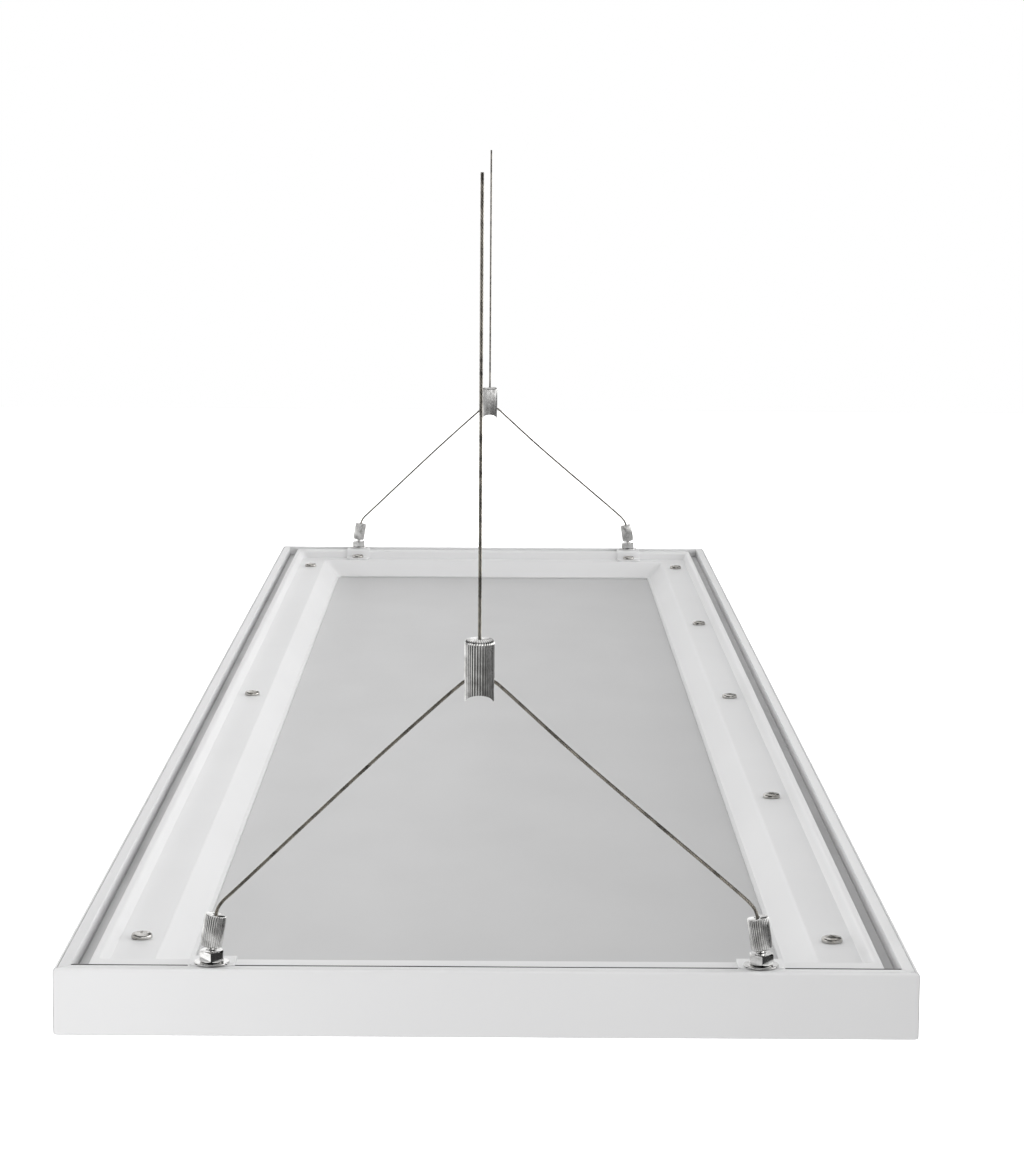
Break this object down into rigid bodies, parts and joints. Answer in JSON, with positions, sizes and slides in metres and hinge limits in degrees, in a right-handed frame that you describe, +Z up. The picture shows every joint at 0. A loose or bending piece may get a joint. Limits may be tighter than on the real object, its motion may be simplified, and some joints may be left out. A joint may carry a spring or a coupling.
{
  "type": "led grow light panel",
  "caption": "Slim edge-lit light panel with a white frame, pressed rear cover and grey back, hung at each end on a wire yoke with knurled swivel fittings.",
  "frame": {"origin": "middle of the frame's underside", "axes": "+Y along the panel's long axis towards its rear end, +Z up towards the ceiling, +X to the driver's side"},
  "size_m": [0.295, 1.195, 0.2999],
  "materials": {
    "white_paint": "fine satin white powder coat",
    "grey_paint": "satin light grey coil coat",
    "mill_aluminium": "mill finish",
    "nickel_plate": "bright nickel plate, knurled",
    "zinc_steel": "zinc-plated steel",
    "wire_rope": "twisted galvanised wire rope",
    "clear_acrylic": "clear polished sheet",
    "opal_acrylic": "opal, fine matt",
    "white_film": "matt white film",
    "led_board": "white solder mask",
    "circuit_board": "green solder mask",
    "black_plastic": "moulded, semi-gloss"
  },
  "bodies": {
    "fixture": {"side_rail_left": "white_paint", "side_rail_right": "white_paint", "end_rail_front": "white_paint", "end_rail_rear": "white_paint", "rear_cover": "white_paint", "corner_key_front_left": "mill_aluminium", "corner_key_front_right": "mill_aluminium", "corner_key_rear_left": "mill_aluminium", "corner_key_rear_right": "mill_aluminium", "back_sheet": "grey_paint", "reflector_sheet": "white_film", "light_guide": "clear_acrylic", "diffuser": "opal_acrylic", "led_bar_left": "mill_aluminium", "led_board_left": "led_board", "led_bar_right": "mill_aluminium", "led_board_right": "led_board", "driver_case": "mill_aluminium", "driver_lid": "mill_aluminium", "driver_board": "circuit_board", "power_inlet": "black_plastic", "front_seal": "black_plastic", "cover_screw_left_1": "zinc_steel", "cover_screw_left_2": "zinc_steel", "cover_screw_left_3": "zinc_steel", "cover_screw_right_1": "zinc_steel", "cover_screw_right_2": "zinc_steel", "cover_screw_right_3": "zinc_steel", "cover_screw_right_4": "zinc_steel", "cover_screw_right_5": "zinc_steel", "hanger_bracket_front_left": "white_paint", "bracket_screw_front_left": "zinc_steel", "washer_front_left": "nickel_plate", "hex_nut_front_left": "nickel_plate", "ball_stud_front_left": "nickel_plate", "hanger_bracket_front_right": "white_paint", "bracket_screw_front_right": "zinc_steel", "washer_front_right": "nickel_plate", "hex_nut_front_right": "nickel_plate", "ball_stud_front_right": "nickel_plate", "hanger_bracket_rear_left": "white_paint", "bracket_screw_rear_left": "zinc_steel", "washer_rear_left": "nickel_plate", "hex_nut_rear_left": "nickel_plate", "ball_stud_rear_left": "nickel_plate", "hanger_bracket_rear_right": "white_paint", "bracket_screw_rear_right": "zinc_steel", "washer_rear_right": "nickel_plate", "hex_nut_rear_right": "nickel_plate", "ball_stud_rear_right": "nickel_plate"},
    "front_yoke": {"yoke_connector_front": "nickel_plate", "leg_wire_front": "wire_rope"},
    "front_main_wire": {"main_wire_front": "wire_rope"},
    "rear_yoke": {"yoke_connector_rear": "nickel_plate", "leg_wire_rear": "wire_rope"},
    "rear_main_wire": {"main_wire_rear": "wire_rope"},
    "front_left_barrel": {"swivel_barrel_front_left": "nickel_plate"},
    "front_right_barrel": {"swivel_barrel_front_right": "nickel_plate"},
    "rear_left_barrel": {"swivel_barrel_rear_left": "nickel_plate"},
    "rear_right_barrel": {"swivel_barrel_rear_right": "nickel_plate"}
  },
  "joints": [
    {"name": "front_yoke_swing", "type": "hinge", "parent": "fixture", "child": "front_yoke", "pos_m": [0, -0.5891, 0.0311], "axis": [1, 0, 0], "range_deg": [-15, 15]},
    {"name": "front_wire_feed", "type": "slide", "parent": "front_yoke", "child": "front_main_wire", "axis": [0, 0, 1], "range_m": [-0.06, 0]},
    {"name": "front_left_barrel_spin", "type": "hinge", "parent": "front_yoke", "child": "front_left_barrel", "pos_m": [-0.094, -0.5891, 0.0311], "axis": [0.1564, 0, 0.9877], "continuous": true},
    {"name": "front_right_barrel_spin", "type": "hinge", "parent": "front_yoke", "child": "front_right_barrel", "pos_m": [0.094, -0.5891, 0.0311], "axis": [-0.1564, 0, 0.9877], "continuous": true},
    {"name": "rear_yoke_swing", "type": "hinge", "parent": "fixture", "child": "rear_yoke", "pos_m": [0, 0.5891, 0.0311], "axis": [1, 0, 0], "range_deg": [-15, 15]},
    {"name": "rear_wire_feed", "type": "slide", "parent": "rear_yoke", "child": "rear_main_wire", "axis": [0, 0, 1], "range_m": [-0.06, 0]},
    {"name": "rear_left_barrel_spin", "type": "hinge", "parent": "rear_yoke", "child": "rear_left_barrel", "pos_m": [-0.094, 0.5891, 0.0311], "axis": [0.1564, 0, 0.9877], "continuous": true},
    {"name": "rear_right_barrel_spin", "type": "hinge", "parent": "rear_yoke", "child": "rear_right_barrel", "pos_m": [0.094, 0.5891, 0.0311], "axis": [-0.1564, 0, 0.9877], "continuous": true}
  ]
}
